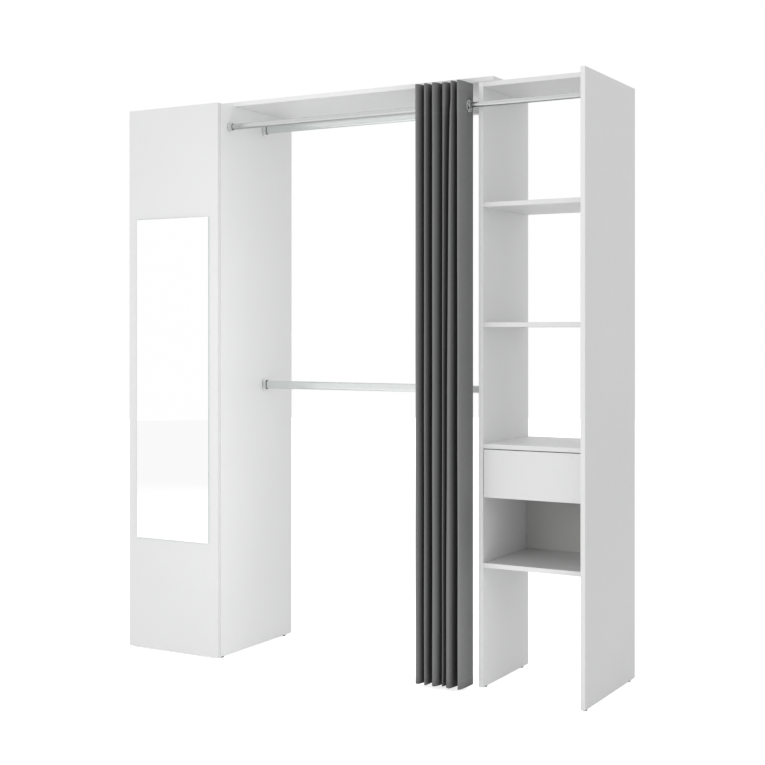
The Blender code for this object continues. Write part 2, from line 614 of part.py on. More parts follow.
def curtain_rod():
    """The telescopic round rod, from the cabinet to the inner face of the column's right side."""
    origin = (COLUMN_LEFT, COLUMN_SETBACK, 0)
    floor = CUP_FLANGE_THICKNESS + 2 * SEAT
    outer_end = CABINET_WIDTH + ROUND_OUTER_LENGTH
    round_tube("curtain_rod_outer", CABINET_WIDTH + floor, outer_end, ROUND_RADIUS)
    round_tube("curtain_rod_inner", outer_end - ROUND_INNER_LAP, BAY_RIGHT - floor, INNER_ROUND_RADIUS,
               origin)
    cup_socket("curtain_rod_left_socket", CABINET_WIDTH, 1, ROUND_RADIUS)
    cup_socket("curtain_rod_right_socket", BAY_RIGHT, -1, INNER_ROUND_RADIUS, origin)


def fold_path(slack):
    """Plan of the bunched cloth, hem to hem. Slack is 0 at the eyelets and 1 at the lower hem."""
    places = [FIRST_PANEL_X + i * PANEL_PITCH + slack * FOLD_SPREAD * math.sin(FOLD_WANDER * (i // 2))
              for i in range(PANELS)]
    front = FOLD_FRONT - slack * FOLD_SWELL
    path = [Vector((places[0], HEM_END))]
    for i, (here, there) in enumerate(zip(places, places[1:])):
        radius = (there - here) / 2
        centre_x = (here + there) / 2
        side = -1 if i % 2 == 0 else 1
        centre_y = front + radius if side < 0 else FOLD_BACK - radius
        for step in range(BEND_STEPS + 1):
            turn = math.pi * step / BEND_STEPS
            reach = side * radius * math.sin(turn)
            path.append(Vector((centre_x - radius * math.cos(turn), centre_y + reach)))
    path.append(Vector((places[-1], HEM_END)))
    return path


def cloth_outline(slack):
    """The cloth's two faces in plan, half its thickness to each side of the fold path."""
    path = fold_path(slack)
    left, right = [], []
    for i, point in enumerate(path):
        along = (path[min(i + 1, len(path) - 1)] - path[max(i - 1, 0)]).normalized()
        across = Vector((-along.y, along.x)) * CLOTH / 2
        left.append(point + across)
        right.append(point - across)
    return left + right[::-1]


def curtain():
    """The gathered cloth, one sheet with a hole for each eyelet, and its clenched eyelets."""
    shape = bmesh.new()
    straight = CLOTH_ROW_SHARES[-2]
    loops = []
    for share in CLOTH_ROW_SHARES:
        slack = max(0, 1 - share / straight)
        z = CURTAIN_BOTTOM + share * (CURTAIN_TOP - CURTAIN_BOTTOM)
        loops.append([Vector((x, y, z)) for x, y in cloth_outline(slack)])
    add_skin(shape, loops)
    cloth = smooth(place("curtain_cloth", shape, "grey_cloth"))
    hole = EYELET_BORE + EYELET_TUBE + SEAT
    span = (PANELS - 1) * PANEL_PITCH
    drill = bmesh.new()
    profile = ((-OVERRUN, hole), (span + OVERRUN, hole))
    add_turned(drill, "X", (FIRST_PANEL_X, CURTAIN_ROD_Y, EYELET_Z), profile, EYELET_SIDES)
    cut(cloth, drill)
    near = CLOTH / 2 + SEAT
    far = near + EYELET_LEAF
    tube = EYELET_BORE + EYELET_TUBE
    spool = ((-far, EYELET_BORE), (-far, EYELET_FLANGE), (-near, EYELET_FLANGE), (-near, tube),
             (near, tube), (near, EYELET_FLANGE), (far, EYELET_FLANGE), (far, EYELET_BORE))
    for number in range(1, PANELS + 1):
        ring = bmesh.new()
        centre = (FIRST_PANEL_X + (number - 1) * PANEL_PITCH, CURTAIN_ROD_Y, EYELET_Z)
        add_turned(ring, "X", centre, spool, EYELET_SIDES, closed=True)
        smooth(place(f"eyelet_{number:02d}", ring, "chrome", centre))


def main():
    """Build every piece of the wardrobe."""
    clear_scene()
    cabinet()
    slab()
    door()
    hinges()
    column()
    runners()
    drawer()
    hanging_rods()
    curtain_rod()
    curtain()


main()
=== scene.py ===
"""Open-front wardrobe: the looks of its mirror cabinet, shelf column, rods and gathered curtain.

Every place comes from the frame's own node boxes, so each piece sits where the CAD says. Sizes are in
metres. Shapes are numpy grids: a profile turned about an axis, or a surface of two parameters.
"""
import bmesh
import bpy
import math
import numpy as np
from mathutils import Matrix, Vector


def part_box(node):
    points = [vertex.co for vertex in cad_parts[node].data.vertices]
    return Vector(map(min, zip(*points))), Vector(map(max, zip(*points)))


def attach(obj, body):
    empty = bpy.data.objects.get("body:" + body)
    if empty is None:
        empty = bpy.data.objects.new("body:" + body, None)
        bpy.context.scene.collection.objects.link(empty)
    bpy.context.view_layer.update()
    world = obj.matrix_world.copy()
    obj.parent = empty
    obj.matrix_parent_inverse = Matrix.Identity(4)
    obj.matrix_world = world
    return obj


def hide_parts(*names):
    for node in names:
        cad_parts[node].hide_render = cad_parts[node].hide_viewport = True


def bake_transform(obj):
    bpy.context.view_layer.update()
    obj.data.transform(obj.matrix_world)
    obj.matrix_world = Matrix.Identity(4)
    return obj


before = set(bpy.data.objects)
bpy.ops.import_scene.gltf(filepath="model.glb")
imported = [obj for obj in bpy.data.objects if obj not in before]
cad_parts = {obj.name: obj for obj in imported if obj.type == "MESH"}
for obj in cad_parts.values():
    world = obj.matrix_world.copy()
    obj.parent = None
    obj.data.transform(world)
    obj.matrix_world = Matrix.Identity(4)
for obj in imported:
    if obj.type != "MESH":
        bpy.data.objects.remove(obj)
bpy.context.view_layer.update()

# Melamine boards: the uprights, which stand on glides, the boards of plain white, and the others, each
# with its tone and how much paler its front face is painted. Apart from the hardboard of the back and the
# drawer's bottom, these tones are painted light and shade: lit and shaded copies of the white, darker on the
# slab, the door and the column's right side, paler on the column's left side, and darker still on the niche's
# back and the column's bottom shelf, painted shade for the shade in the niche.
UPRIGHTS = ("cabinet_left_side", "cabinet_right_side", "column_left_side", "column_right_side")
WHITE_BOARDS = ("cabinet_left_side", "cabinet_right_side", "cabinet_top", "cabinet_bottom",
                "cabinet_shelf_1", "cabinet_shelf_2", "column_top", "column_shelf_1", "column_shelf_2",
                "column_shelf_3", "drawer_front", "drawer_left_side", "drawer_right_side", "drawer_back")
WHITE = (0.83, 0.832, 0.832, 1)
OTHER_BOARDS = {"top_slab": ((0.80, 0.802, 0.802, 1), 0.0),
                "door_panel": ((0.748, 0.75, 0.75, 1), 0.0),
                "column_left_side": ((0.87, 0.872, 0.872, 1), 0.10),
                "column_right_side": ((0.768, 0.77, 0.77, 1), 0.11),
                "column_bottom_shelf": ((0.66, 0.662, 0.66, 1), 0.27),
                "niche_back": ((0.585, 0.587, 0.575, 1), 0.0),
                "cabinet_back": ((0.78, 0.78, 0.775, 1), 0.0),
                "drawer_bottom": ((0.78, 0.78, 0.775, 1), 0.0)}
BAND_JOINT = 0.0011
BAND_JOINT_HALF = 0.0002
HANDLED_RIM = 0.0012
GLIDE_TOP = 0.0049
DARK_PLASTIC = (0.015, 0.015, 0.016, 1)

# Mirror: its silvered face is the slice of the glass nearest to the front
SILVER = (0.992, 0.996, 0.992, 1)
GROUND_RIM = (0.50, 0.60, 0.56, 1)
SILVER_SLICE = 0.0002

# Rods: their tubes, and the sockets' eased edges, collar, flange and lip, with the shape of their mouths
TUBE_WALL = 0.0012
TUBE_EASE = 0.0004
ROUND_SOCKET = {"ease": 0.0006, "collar": 0.0022, "flange": 0.0020, "lip": 0.0025}
OVAL_SOCKET = {"ease": 0.0007, "collar": 0.0030, "flange": 0.0030}
OVAL_SOCKET_WALL = 0.0033
FLANGE_DRAFT = 0.0004
COLLAR_FOOT = 0.0008
MOUTH_START = 0.0010
MOUTH_DRAFT = 0.0002
MOUTH_CHAMFER = 0.0006
# How far the painted shade reaches from a socket's joint with the board and from its mouth
BOARD_GRIME = 0.0020
MOUTH_GRIME = 0.0018

# Eyelets: the spool's bore, its wall, and half the gap between its two flanges
EYELET_BORE = 0.0140
SPOOL_WALL = 0.001
SPOOL_HALF = 0.0009

# Small fasteners: each head's radius, height and recess, and its place on what carries it
CUP_SCREW = (0.0036, 0.0011, 0.0009)
CUP_SCREW_INSET = 0.0270
CUP_SCREW_SPAN = 0.050
PLATE_SCREW = (0.0038, 0.0013, 0.0010)
PLATE_THICKNESS = 0.0030
PLATE_SCREW_INSET = 0.026
PLATE_SCREW_SPAN = 0.038
ADJUSTER = (0.0032, 0.0007, 0.0008)
ADJUSTER_REACHES = (0.026, 0.050)
CAM = (0.0075, 0.0006, 0.0009)
CAM_END_INSET = 0.034
CAM_EDGE_INSET = 0.060
CAM_BOARDS = {"cabinet_bottom": (False, "root"), "column_top": (True, "column"),
              "column_shelf_1": (True, "column"), "column_shelf_2": (True, "column"),
              "column_shelf_3": (False, "column"), "column_bottom_shelf": (False, "column")}
PIN_RADIUS = 0.0024
PIN_BURIED = 0.004
PIN_LENGTH = 0.0094
PIN_COLLAR = 0.0042
PIN_COLLAR_LENGTH = 0.0014
PIN_DROP = 0.0026
PIN_INSET = 0.040

# Curtain: sizes of the cloth, its hems and the flat round each eyelet
PANELS = 12
CLOTH = 0.0011
HEM_CLOTH = 0.0019
CURTAIN_BOTTOM = 0.0145
CURTAIN_TOP = 2.0295
BOTTOM_HEM = 0.030
TOP_HEM = 0.105
HEM_TAIL = (0.0290, 0.0015)
TAIL_COLUMNS = 9
EYELET_HOLE = 0.0185
EYELET_FLAT = 0.0235
EYELET_FADE = 0.0310

# Front folds, from left to right, each value at the top and at the foot. Where two folds meet, the seam
# between them stands beside the middle of the two eyelets there by MEETING. A fold reaches forward by
# REACH. On its right it leans: VALLEY narrows that half, and RIGHT_POWER is the power of its outline.
MEETING_TOP = np.array((-0.0009, 0.0019, 0.0020, -0.0005, 0.0095, 0.0036, -0.0066))
MEETING_FOOT = np.array((-0.0007, 0.0019, -0.0004, 0.0049, -0.0140, 0.0040, -0.0066))
REACH_TOP = np.array((0.0650, 0.0650, 0.0660, 0.0510, 0.0650, 0.0660))
REACH_FOOT = np.array((0.0630, 0.0640, 0.0640, 0.0505, 0.0630, 0.0620))
VALLEY_TOP = np.array((0.0045, 0.0095, 0.0025, 0.0090, 0.0090, 0.0))
VALLEY_FOOT = np.array((0.0045, 0.0095, 0.0055, 0.0020, 0.0145, 0.0))
RIGHT_POWER_TOP = np.array((1.75, 1.60, 1.95, 1.50, 2.05, 2.0))
RIGHT_POWER_FOOT = np.array((1.75, 1.60, 1.60, 2.20, 1.25, 2.0))
FRONT_WAVE = 0.0007

# Back folds, and what all folds share: the gap between neighbours, the neck's share of the reach, and
# the powers that round the fold's tip and let its changes begin below the eyelets
BACK_REACH = 0.0325
BACK_WAVE = 0.0012
FOLD_GAP = 0.0024
NECK = 0.34
TIP_POWER = 0.8
FALL_POWER = 0.8
MEETING_FALL_POWER = 0.5

# Painted fold shade: from the first depth to the second behind the foremost folds the cloth's tone is
# darkened to the deep tone, shade painted into its colour. A fold that reaches less far counts as this share
# of the difference deeper. The last fold's seen side is painted paler, a painted highlight, out to the edge's
# depth. The reverse takes its share of the fold shade all over.
FRONT_REACH = 0.0650
SHORT_FOLD_SHARE = 0.6
FADED_DEPTH = 0.005
DEEP_DEPTH = 0.026
DEEP_TONE = 0.40
EDGE_FADE = 0.45
FRONT_FADE = 0.060
REVERSE_INSIDE = 0.25

# Weave: the pitch of the yarns, the stitches of a hem, and the line they lie on
YARN = 0.0006
STITCHES_PER_METRE = 250.0
STITCH_INSET = 0.003
CLOTH_TONE = (0.208, 0.209, 0.21, 1)

# Studio: the floor's own tone, its glow to the camera and to shiny pieces, the sky, and the lamps, each with
# its place, the point it looks at, its width and height, and its power in watts
FLOOR_RADIUS = 14.0
FLOOR_DROP = 0.0002
FLOOR_TONE = 0.88
FLOOR_GLOW = 0.75
FLOOR_SHINE = 0.28
SKY_LEVEL = 0.765
LAMPS = (("key", (-1.2, -5.0, 2.2), (0.0, 0.0, 1.0), (3.0, 3.0), 57.0),
         ("side", (0.28, -0.74, 1.00), (-1.0, -0.74, 1.00), (0.9, 1.9), 5.6),
         ("low", (0.86, -0.50, 0.20), (-1.0, -0.50, 0.20), (0.5, 0.3), 0.5))

# Camera: fitted to the photograph's corners, in metres, degrees and millimetres of lens
CAMERA_PLACE = (2.4739, -4.2478, 1.1987)
CAMERA_TURN = 29.666
CAMERA_LENS = 63.81
CAMERA_SENSOR = 36.0
CAMERA_SHIFT = -0.0668


def unit(vectors):
    """Rows of vectors brought to length one."""
    return vectors / np.maximum(np.linalg.norm(vectors, axis=-1, keepdims=True), 1e-12)


def smooth_step(t):
    """3t^2 - 2t^3, which rises from 0 to 1 with level ends."""
    return t * t * (3 - 2 * t)


def node_box(name):
    """Lowest corner, highest corner and centre of a CAD node, as arrays."""
    low, high = (np.array(corner, float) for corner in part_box(name))
    return low, high, (low + high) / 2


def grid_faces(rows, columns, close_rows, close_columns):
    """Corner numbers of the quads of a grid; a closed direction joins its last line to its first."""
    r = np.arange(rows if close_rows else rows - 1)[:, None]
    c = np.arange(columns if close_columns else columns - 1)[None, :]
    down, across = (r + 1) % rows, (c + 1) % columns
    corners = (r * columns + c, r * columns + across, down * columns + across, down * columns + c)
    return np.stack(np.broadcast_arrays(*corners), axis=-1).reshape(-1, 4)


def outward(points, quads):
    """Quads in the order that makes a closed shell's volume positive, so that its faces point out."""
    a, b, c, d = (points[quads[:, i]] for i in range(4))
    volume = np.einsum("ij,ij->i", a, np.cross(b, c) + np.cross(c, d)).sum()
    return quads if volume >= 0 else quads[:, ::-1]


def make_piece(name, points, quads, material, body=None, weld=False):
    """A smooth mesh of points and quads with a material; it rides on a body.

    Weld merges points that coincide, as at a pole.
    """
    mesh = bpy.data.meshes.new(name)
    mesh.from_pydata(points.reshape(-1, 3), [], quads.tolist())
    if weld:
        shell = bmesh.new()
        shell.from_mesh(mesh)
        bmesh.ops.remove_doubles(shell, verts=shell.verts, dist=1e-7)
        shell.to_mesh(mesh)
        shell.free()
    mesh.materials.append(material)
    mesh.polygons.foreach_set("use_smooth", np.ones(len(mesh.polygons), bool))
    piece = bpy.data.objects.new(name, mesh)
    bpy.context.scene.collection.objects.link(piece)
    if body:
        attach(piece, body)
    return piece


def eased(profile, radius, steps=5, closed=True):
    """A profile with every corner eased; an open one keeps its two ends.

    Each corner becomes (1-t)^2 A + 2t(1-t) P + t^2 C, where A and C lie on its two sides, at the radius or
    at 0.45 of the side if that is less, and P is the corner itself.
    """
    corner = np.asarray(profile, float)
    sides = np.roll(corner, 1, 0) - corner, np.roll(corner, -1, 0) - corner
    start, end = (corner + unit(side) * np.minimum(radius, 0.45 * np.linalg.norm(side, axis=1, keepdims=True))
                  for side in sides)
    t = np.linspace(0, 1, steps)[None, :, None]
    curve = (1 - t) ** 2 * start[:, None] + 2 * t * (1 - t) * corner[:, None] + t ** 2 * end[:, None]
    if not closed:
        curve[0], curve[-1] = corner[0], corner[-1]
    return curve.reshape(-1, 2)


def cross_axes(axis):
    """Two unit vectors square to an axis and to each other."""
    axis = np.asarray(axis, float)
    first = np.array((0.0, 0.0, 1.0)) if abs(axis[2]) < 0.9 else np.array((0.0, 1.0, 0.0))
    side = unit(np.cross(first, axis))
    return side, np.cross(axis, side)


def turned_points(centre, axis, profile, sides, run=0.0):
    """Points of a profile turned about an axis.

    A profile point (s, r) at the angle a lies at centre + s axis + r (cos a side + sin a up), plus
    run sign(sin a) up, so that a run above zero draws a flat-sided oval.
    """
    side, up = cross_axes(axis)
    angle = (np.arange(sides) + 0.5) * math.tau / sides
    ring = np.cos(angle)[:, None] * side + np.sin(angle)[:, None] * up
    flat = run * np.sign(np.sin(angle))[:, None] * up
    s, r = profile[:, 0][:, None, None], profile[:, 1][:, None, None]
    return np.asarray(centre, float) + s * np.asarray(axis, float) + r * ring + flat


def turned(name, centre, axis, profile, material, body, sides=56, run=0.0):
    """A closed profile turned about an axis, which makes a ring or a tube."""
    points = turned_points(centre, axis, profile, sides, run)
    quads = grid_faces(len(profile), sides, True, True)
    return make_piece(name, points, outward(points.reshape(-1, 3), quads), material, body)


def heads(name, places, axis, head, body, rings=10, sides=40):
    """Cross-recessed heads of zinc-plated steel in one piece, each a closed surface over r and the angle a.

    With R the head's radius, its height is height sqrt(1 - 0.8 (r/R)^2), less the recess on a cross: all of
    it within 0.11 R of an arm's middle and out to 0.6 R, ramping to nothing at 0.16 R and 0.7 R. Two last
    rings, sunk in what carries the head, make its wall and its floor.
    """
    radius, height, recess = head
    side, up = cross_axes(axis)
    r = radius * np.concatenate((np.linspace(0, 1, rings), (1.0, 0.0)))[:, None]
    a = (np.arange(sides) * math.tau / sides)[None, :]
    x, y = r * np.cos(a), r * np.sin(a)
    lift = height * np.sqrt(1 - 0.8 * (r / radius) ** 2) + 0 * a
    arm = np.minimum(np.abs(x), np.abs(y)) / radius
    lift = lift - recess * np.clip((0.16 - arm) / 0.05, 0, 1) * np.clip((0.70 - r / radius) / 0.1, 0, 1)
    lift[rings:] = -0.25 * height
    shape = x[..., None] * side + y[..., None] * up + lift[..., None] * np.asarray(axis, float)
    quads = outward(shape.reshape(-1, 3), grid_faces(rings + 2, sides, False, True))
    points = np.asarray(places, float)[:, None, None] + shape[None]
    every = np.concatenate([quads + i * shape[..., 0].size for i in range(len(places))])
    return make_piece(name, points, every, ZINC, body, weld=True)


def fill(tree, sockets, values):
    """Link a socket, or set a plain value, on each socket in turn; None leaves one as it is."""
    for socket, value in zip(sockets, values):
        if isinstance(value, bpy.types.NodeSocket):
            tree.links.new(value, socket)
        elif value is not None:
            socket.default_value = value


def maths(tree, operation, *values):
    """The output of one Math node over sockets or plain numbers."""
    step = tree.nodes.new("ShaderNodeMath")
    step.operation = operation
    fill(tree, step.inputs, values)
    return step.outputs[0]


def vectors(tree, operation, *values):
    """The vector output of one Vector Math node over sockets or plain triples."""
    step = tree.nodes.new("ShaderNodeVectorMath")
    step.operation = operation
    fill(tree, step.inputs, values)
    return step.outputs[0]


def axes_of(tree, vector):
    """The three parts of a vector socket."""
    split = tree.nodes.new("ShaderNodeSeparateXYZ")
    fill(tree, split.inputs, (vector,))
    return split.outputs


def blend_colours(tree, share, first, second, mode="MIX"):
    """The colour output of one Mix node."""
    step = tree.nodes.new("ShaderNodeMix")
    step.data_type, step.blend_type = "RGBA", mode
    fill(tree, (step.inputs[0], step.inputs[6], step.inputs[7]), (share, first, second))
    return step.outputs[2]


def shaded(tree, tone, shade):
    """A tone times a grey shade, where 1 leaves it as it is."""
    grey = tree.nodes.new("ShaderNodeCombineColor")
    fill(tree, grey.inputs, (shade, shade, shade))
    return blend_colours(tree, 1.0, tone, grey.outputs[0], "MULTIPLY")


def stretch(tree, value, low, high, new_low=0.0, new_high=1.0):
    """The output of one clamped Map Range node."""
    step = tree.nodes.new("ShaderNodeMapRange")
    fill(tree, step.inputs, (value, low, high, new_low, new_high))
    return step.outputs[0]


def noise(tree, place, scale, detail=2.0, roughness=0.5):
    """The grey output of one Noise node."""
    step = tree.nodes.new("ShaderNodeTexNoise")
    fill(tree, (step.inputs["Vector"], step.inputs["Scale"], step.inputs["Detail"], step.inputs["Roughness"]),
         (place, scale, detail, roughness))
    return step.outputs[0]


def attribute(tree, name):
    """The value of a mesh attribute."""
    read = tree.nodes.new("ShaderNodeAttribute")
    read.attribute_name = name
    return read.outputs["Fac"]


def effect(name, takes, gives):
    """A shader node group with named sockets; returns the group, its inputs and its output node."""
    group = bpy.data.node_groups.new(name, "ShaderNodeTree")
    for label, kind in takes:
        group.interface.new_socket(label, in_out="INPUT", socket_type="NodeSocket" + kind)
    for label, kind in gives:
        group.interface.new_socket(label, in_out="OUTPUT", socket_type="NodeSocket" + kind)
    return group, group.nodes.new("NodeGroupInput").outputs, group.nodes.new("NodeGroupOutput").inputs


def use(tree, group, **values):
    """Place an effect in a material, with a socket or a plain value for each named input."""
    step = tree.nodes.new("ShaderNodeGroup")
    step.node_tree = group
    for label, value in values.items():
        fill(tree, (step.inputs[label],), (value,))
    return step.outputs


def material(name, **plain):
    """A material with one Principled shader; plain values go straight to the shader's own sockets."""
    made = bpy.data.materials.new(name)
    made.use_nodes = True
    shader = made.node_tree.nodes["Principled BSDF"]
    for label, value in plain.items():
        shader.inputs[label.replace("_", " ")].default_value = value
    return made, made.node_tree, shader.inputs


def place_of(tree):
    """The Object coordinate, which is the place in the row frame at rest."""
    return tree.nodes.new("ShaderNodeTexCoord").outputs["Object"]


def facing_of(tree):
    """The normal, for masks on pieces that only slide."""
    return tree.nodes.new("ShaderNodeNewGeometry").outputs["Normal"]


def raise_grain(tree, inputs, height, depth, strength=0.5):
    """A Bump node from a height socket to the shader's Normal, depth in metres."""
    bump = tree.nodes.new("ShaderNodeBump")
    fill(tree, (bump.inputs["Strength"], bump.inputs["Distance"], bump.inputs["Height"]),
         (strength, depth, height))
    tree.links.new(bump.outputs[0], inputs["Normal"])


def board_surface():
    """Melamine on a board between two corners: fine pearl grain, faint clouding, and the joint of the edge
    banding.

    The face that looks to the front may be painted paler than the board by a share of its tone: painted light
    on the front edges.
    The distance to the nearest outline of a face is the middle one of the three distances to the box's
    sides, since the least one is the face itself. The joint is a thin dark line at BAND_JOINT from there,
    and the rim inside HANDLED_RIM is a little darker from hands.
    """
    group, takes, gives = effect(
        "board_surface",
        (("Place", "Vector"), ("Facing", "Vector"), ("Low", "Vector"), ("High", "Vector"), ("Tone", "Color"),
         ("Band", "Float")),
        (("Tone", "Color"), ("Roughness", "Float"), ("Height", "Float")))
    above = vectors(group, "SUBTRACT", takes["Place"], takes["Low"])
    below = vectors(group, "SUBTRACT", takes["High"], takes["Place"])
    x, y, z = axes_of(group, vectors(group, "MINIMUM", above, below))
    rim = maths(group, "MAXIMUM", maths(group, "MINIMUM", x, y),
                maths(group, "MINIMUM", maths(group, "MAXIMUM", x, y), z))
    joint = stretch(group, maths(group, "ABSOLUTE", maths(group, "SUBTRACT", rim, BAND_JOINT)),
                    BAND_JOINT_HALF, 0.0)
    handled = stretch(group, rim, HANDLED_RIM, 0.0)
    cloud = noise(group, takes["Place"], 2.3, 3.0)
    speck = noise(group, takes["Place"], 210.0, 2.0, 0.6)
    pearl = noise(group, takes["Place"], 1500.0, 1.0)
    shade = maths(group, "ADD", stretch(group, cloud, 0.3, 0.7, 0.985, 1.005),
                  stretch(group, speck, 0.2, 0.8, -0.004, 0.004))
    shade = maths(group, "SUBTRACT", shade, maths(group, "MULTIPLY", joint, 0.10))
    shade = maths(group, "SUBTRACT", shade, maths(group, "MULTIPLY", handled, 0.015))
    # painted light: the face that looks to the front is made paler
    to_front = stretch(group, axes_of(group, takes["Facing"])[1], -0.6, -0.8)
    paler = maths(group, "ADD", maths(group, "MULTIPLY", to_front, takes["Band"]), 1.0)
    fill(group, gives, (shaded(group, takes["Tone"], maths(group, "MULTIPLY", shade, paler)),
                        stretch(group, noise(group, takes["Place"], 38.0), 0.3, 0.7, 0.40, 0.50),
                        maths(group, "SUBTRACT", maths(group, "MULTIPLY", pearl, 0.5), joint)))
    return group


def metal_surface():
    """Plated metal: hairlines drawn along X, faint stains, and painted shade where it faces down and in its
    joints.
    """
    group, takes, gives = effect(
        "metal_surface",
        (("Place", "Vector"), ("Facing", "Vector"), ("Tone", "Color"), ("Underside", "Float"),
         ("Least", "Float"), ("Grime", "Float")),
        (("Tone", "Color"), ("Roughness", "Float"), ("Height", "Float")))
    lines = noise(group, vectors(group, "MULTIPLY", takes["Place"], (6.0, 900.0, 900.0)), 1.0, 2.0)
    stain = noise(group, takes["Place"], 45.0, 3.0)
    # painted shade where the metal faces down, standing in for the darker reflection below it
    under = maths(group, "MULTIPLY", stretch(group, axes_of(group, takes["Facing"])[2], -0.55, -0.86),
                  takes["Underside"])
    shade = maths(group, "SUBTRACT", stretch(group, stain, 0.3, 0.7, 0.97, 1.0), under)
    # painted shade in the joints, read from the piece's "joint"
    shade = maths(group, "MULTIPLY", shade, maths(group, "SUBTRACT", 1.0, takes["Grime"]))
    rough = maths(group, "ADD", takes["Least"], maths(group, "MULTIPLY", stain, 0.04))
    fill(group, gives, (shaded(group, takes["Tone"], shade), rough, lines))
    return group


def cloth_surface(height):
    """Plain-woven cloth on a UV map in metres, with thick and thin yarns, and a stitch line at each hem.

    Warp and weft are |cos| ridges one pitch p apart; the sign of sin(pi u/p) sin(pi v/p) says which lies
    on top. A stitch is a 3 mm dash in every 4 mm along a line at the hem's inner edge. Deep in the folds
    the cloth's tone is darkened, shade painted into its colour.
    """
    group, takes, gives = effect("cloth_surface", (("Map", "Vector"), ("Tone", "Color"), ("Inside", "Float")),
                                 (("Tone", "Color"), ("Height", "Float")))
    u, v, _ = axes_of(group, takes["Map"])
    turn = [maths(group, "MULTIPLY", value, math.pi / YARN) for value in (u, v)]
    ridge = [maths(group, "ABSOLUTE", maths(group, "COSINE", value)) for value in turn]
    over = maths(group, "MULTIPLY", maths(group, "SINE", turn[0]), maths(group, "SINE", turn[1]))
    over = stretch(group, over, -0.1, 0.1)
    weave = maths(group, "ADD", maths(group, "MULTIPLY", ridge[0], over),
                  maths(group, "MULTIPLY", ridge[1], maths(group, "SUBTRACT", 1.0, over)))
    slub = maths(group, "ADD", *(noise(group, vectors(group, "MULTIPLY", takes["Map"], along), 1.0)
                                 for along in ((1300.0, 14.0, 1.0), (14.0, 1300.0, 1.0))))
    beat = maths(group, "FRACT", maths(group, "MULTIPLY", u, STITCHES_PER_METRE))
    dash = stretch(group, maths(group, "ABSOLUTE", maths(group, "SUBTRACT", beat, 0.5)), 0.40, 0.36)
    edges = BOTTOM_HEM - STITCH_INSET, height - TOP_HEM + STITCH_INSET
    line = maths(group, "MINIMUM", *(maths(group, "ABSOLUTE", maths(group, "SUBTRACT", v, edge))
                                     for edge in edges))
    stitch = maths(group, "MULTIPLY", dash, stretch(group, line, 0.0006, 0.0003))
    shade = maths(group, "MULTIPLY", stretch(group, weave, 0.0, 1.0, 0.84, 1.06),
                  stretch(group, slub, 0.6, 1.4, 0.93, 1.07))
    shade = maths(group, "ADD", shade, maths(group, "MULTIPLY", stitch, 0.35))
    kept = maths(group, "SUBTRACT", 1.0, maths(group, "MULTIPLY", takes["Inside"], 1.0 - DEEP_TONE))
    fill(group, gives, (shaded(group, takes["Tone"], maths(group, "MULTIPLY", shade, kept)),
                        maths(group, "SUBTRACT", weave, maths(group, "MULTIPLY", stitch, 1.5))))
    return group


SURFACE_OF_BOARD = board_surface()
SURFACE_OF_METAL = metal_surface()
SURFACE_OF_CLOTH = cloth_surface(CURTAIN_TOP - CURTAIN_BOTTOM)


def board_material(name, tone, band=0.0):
    """Melamine for one board, fitted to its box; an upright's is dark below the top of its glides."""
    low, high, _ = node_box(name)
    made, tree, inputs = material(name + "_melamine", Specular_IOR_Level=0.42)
    out = use(tree, SURFACE_OF_BOARD, Place=place_of(tree), Facing=facing_of(tree), Low=tuple(low),
              High=tuple(high), Tone=tone, Band=band)
    colour = out["Tone"]
    if name in UPRIGHTS:
        glide = maths(tree, "LESS_THAN", axes_of(tree, place_of(tree))[2], GLIDE_TOP)
        colour = blend_colours(tree, glide, colour, DARK_PLASTIC)
    tree.links.new(colour, inputs["Base Color"])
    tree.links.new(out["Roughness"], inputs["Roughness"])
    raise_grain(tree, inputs, out["Height"], 0.00004, 0.6)
    return made


def metal_material(name, tone, least, underside=0.0, depth=0.000004, grime=0.0, metallic=1.0):
    """Plated or polished metal from the shared metal surface; painted shade in its joints is read from the
    piece's own "joint".
    """
    made, tree, inputs = material(name, Metallic=metallic)
    dirt = maths(tree, "MULTIPLY", attribute(tree, "joint"), grime) if grime else 0.0
    out = use(tree, SURFACE_OF_METAL, Place=place_of(tree), Facing=facing_of(tree), Tone=tone,
              Underside=underside, Least=least, Grime=dirt)
    tree.links.new(out["Tone"], inputs["Base Color"])
    tree.links.new(out["Roughness"], inputs["Roughness"])
    raise_grain(tree, inputs, out["Height"], depth)
    return made


def mirror_material():
    """Silvered glass: a bright mirror on its front face, and the green-grey of ground glass on its rim.

    The front is told by its place, since the door turns.
    """
    made, tree, inputs = material("mirror_glass", Coat_Weight=0.5, Coat_Roughness=0.02)
    front_y = float(node_box("mirror")[0][1])
    front = maths(tree, "LESS_THAN", axes_of(tree, place_of(tree))[1], front_y + SILVER_SLICE)
    smear = noise(tree, place_of(tree), 9.0, 3.0)
    tree.links.new(blend_colours(tree, front, GROUND_RIM, SILVER), inputs["Base Color"])
    tree.links.new(front, inputs["Metallic"])
    tree.links.new(maths(tree, "ADD", maths(tree, "MULTIPLY", smear, 0.02),
                         stretch(tree, front, 0.0, 1.0, 0.35, 0.0)), inputs["Roughness"])
    return made


def plastic_material(name, tone):
    """Moulded plastic with a fine spark-eroded skin."""
    made, tree, inputs = material(name)
    place = place_of(tree)
    skin = noise(tree, place, 2200.0, 2.0)
    greyer = stretch(tree, noise(tree, place, 30.0), 0.3, 0.7, 0.0, 0.06)
    tree.links.new(blend_colours(tree, greyer, tone, (0.5, 0.5, 0.5, 1)), inputs["Base Color"])
    tree.links.new(stretch(tree, skin, 0.2, 0.8, 0.32, 0.45), inputs["Roughness"])
    raise_grain(tree, inputs, skin, 0.00003)
    return made


